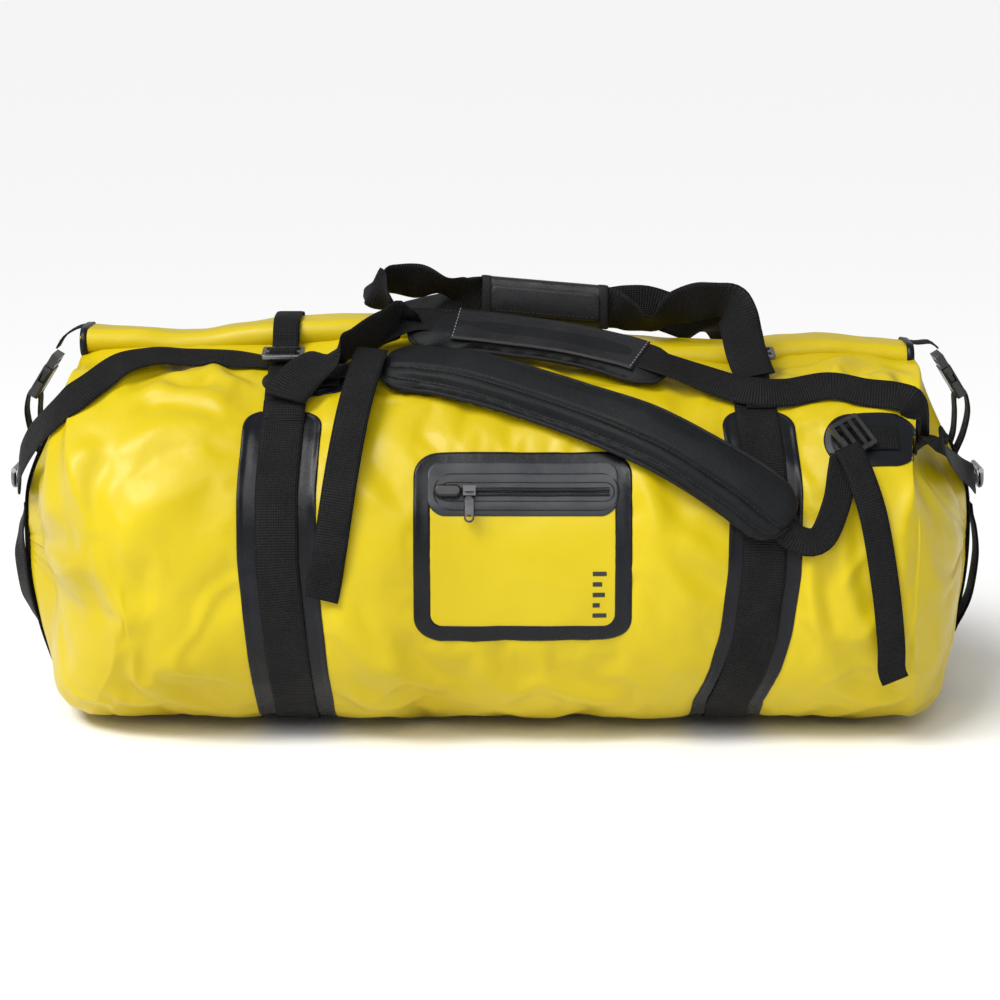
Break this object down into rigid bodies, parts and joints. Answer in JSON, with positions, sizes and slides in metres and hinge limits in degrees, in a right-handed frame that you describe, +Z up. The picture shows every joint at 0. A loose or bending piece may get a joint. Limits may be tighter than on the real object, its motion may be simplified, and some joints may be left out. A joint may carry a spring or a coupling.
{
  "type": "dry duffel bag",
  "caption": "Stuffed roll-top dry duffel bag of tarpaulin with webbing bands, carry handles with a wrapped grip, padded straps and a zip pocket.",
  "frame": {"origin": "on the floor, under the middle of the bag", "axes": "+X along the bag to its right end as seen from the front, -Y to the front with the pocket, +Z up"},
  "size_m": [0.9446, 0.462, 0.4272],
  "materials": {
    "pvc_yellow": "satin",
    "pvc_black": "satin",
    "webbing": "matte",
    "pad_fabric": "matte",
    "stiffener": "matte",
    "moulded_plastic": "satin",
    "metal": "brushed",
    "zip_tape": "matte"
  },
  "bodies": {
    "bag": {"body_tube": "pvc_yellow", "end_panel_left": "pvc_yellow", "end_panel_right": "pvc_yellow", "roll_closure": "pvc_yellow", "stiffener_front": "stiffener", "stiffener_back": "stiffener", "band_patch_left": "pvc_black", "band_patch_right": "pvc_black", "band_webbing_left": "webbing", "band_webbing_right": "webbing", "closure_strap_left": "webbing", "closure_strap_right": "webbing", "pocket_frame": "pvc_black", "pocket_panel": "pvc_yellow", "zip_tape": "zip_tape", "zip_garage": "moulded_plastic", "oval_patch_front_left": "pvc_black", "oval_patch_front_right": "pvc_black", "oval_patch_back_left": "pvc_black", "oval_patch_back_right": "pvc_black", "anchor_tab_front_left": "webbing", "anchor_tab_front_right": "webbing", "anchor_tab_back_left": "webbing", "anchor_tab_back_right": "webbing", "backpack_webbing_upper_front": "webbing", "backpack_webbing_upper_back": "webbing", "backpack_pad_front": "pad_fabric", "backpack_pad_back": "pad_fabric", "backpack_webbing_lower_front": "webbing", "backpack_webbing_lower_back": "webbing", "shoulder_pad": "pad_fabric", "shoulder_sleeve": "pad_fabric", "shoulder_webbing": "webbing", "end_webbing_left": "webbing", "end_webbing_right": "webbing", "end_handle_left": "webbing", "end_handle_right": "webbing", "buckle_socket_left": "moulded_plastic", "buckle_socket_right": "moulded_plastic"},
    "handles": {"handle_webbing_front": "webbing", "handle_webbing_back": "webbing", "grip_wrap": "pad_fabric"},
    "grip_flap": {"grip_flap": "pad_fabric"},
    "zip_slider": {"zip_slider": "metal"},
    "zip_pull": {"zip_pull": "moulded_plastic"},
    "tri_glide_left": {"tri_glide_left": "metal"},
    "tri_glide_right": {"tri_glide_right": "metal"},
    "ladder_lock_front": {"ladder_lock_front": "moulded_plastic"},
    "ladder_lock_back": {"ladder_lock_back": "moulded_plastic"},
    "adjuster_tail_front": {"adjuster_tail_front": "webbing"},
    "adjuster_tail_back": {"adjuster_tail_back": "webbing"},
    "loose_tail": {"loose_tail": "webbing"},
    "d_ring_left": {"d_ring_left": "metal"},
    "d_ring_right": {"d_ring_right": "metal"},
    "buckle_plug_left": {"buckle_plug_left": "moulded_plastic", "roll_tab_left": "webbing"},
    "buckle_plug_right": {"buckle_plug_right": "moulded_plastic", "roll_tab_right": "webbing"}
  },
  "joints": [
    {"name": "handle_lift", "type": "slide", "parent": "bag", "child": "handles", "axis": [0, 0, 1], "range_m": [0, 0.06]},
    {"name": "flap_open", "type": "hinge", "parent": "handles", "child": "grip_flap", "pos_m": [0.045, -0.0098, 0.3975], "axis": [1, 0, 0], "range_deg": [-120, 0]},
    {"name": "zip_slide", "type": "slide", "parent": "bag", "child": "zip_slider", "axis": [1, 0, 0], "range_m": [0, 0.108]},
    {"name": "pull_swing", "type": "hinge", "parent": "zip_slider", "child": "zip_pull", "pos_m": [-0.0245, -0.2021, 0.24502], "axis": [1, 0, 0], "range_deg": [-140, 0]},
    {"name": "ladder_lock_front_tilt", "type": "hinge", "parent": "bag", "child": "ladder_lock_front", "pos_m": [0.32588, -0.17121, 0.29382], "axis": [0.5286, -0.5241, -0.6678], "range_deg": [-80, 0]},
    {"name": "adjuster_tail_front_swing", "type": "hinge", "parent": "bag", "child": "adjuster_tail_front", "pos_m": [0.31323, -0.19978, 0.26484], "axis": [1, 0, 0], "range_deg": [-80, 0]},
    {"name": "ladder_lock_back_tilt", "type": "hinge", "parent": "bag", "child": "ladder_lock_back", "pos_m": [0.32588, 0.17121, 0.29382], "axis": [0.5286, 0.5241, -0.6678], "range_deg": [0, 80]},
    {"name": "adjuster_tail_back_swing", "type": "hinge", "parent": "bag", "child": "adjuster_tail_back", "pos_m": [0.31323, 0.19978, 0.26484], "axis": [1, 0, 0], "range_deg": [0, 80]},
    {"name": "loose_tail_swing", "type": "hinge", "parent": "bag", "child": "loose_tail", "pos_m": [-0.124, -0.13003, 0.34379], "axis": [1, 0, 0], "range_deg": [-80, 0]},
    {"name": "tri_glide_left_slide", "type": "slide", "parent": "bag", "child": "tri_glide_left", "axis": [0, 0.9866, 0.1629], "range_m": [-0.004, 0.006]},
    {"name": "tri_glide_right_slide", "type": "slide", "parent": "bag", "child": "tri_glide_right", "axis": [0, 0.9866, 0.1629], "range_m": [-0.004, 0.006]},
    {"name": "d_ring_left_swing", "type": "hinge", "parent": "bag", "child": "d_ring_left", "pos_m": [-0.4605, 0, 0.226], "axis": [0, 1, 0], "range_deg": [0, 80]},
    {"name": "d_ring_right_swing", "type": "hinge", "parent": "bag", "child": "d_ring_right", "pos_m": [0.4605, 0, 0.226], "axis": [0, 1, 0], "range_deg": [-80, 0]},
    {"name": "buckle_left_pull", "type": "slide", "parent": "bag", "child": "buckle_plug_left", "axis": [0.5299, 0, 0.848], "range_m": [0, 0.024]},
    {"name": "buckle_right_pull", "type": "slide", "parent": "bag", "child": "buckle_plug_right", "axis": [-0.5299, 0, 0.848], "range_m": [0, 0.024]}
  ]
}
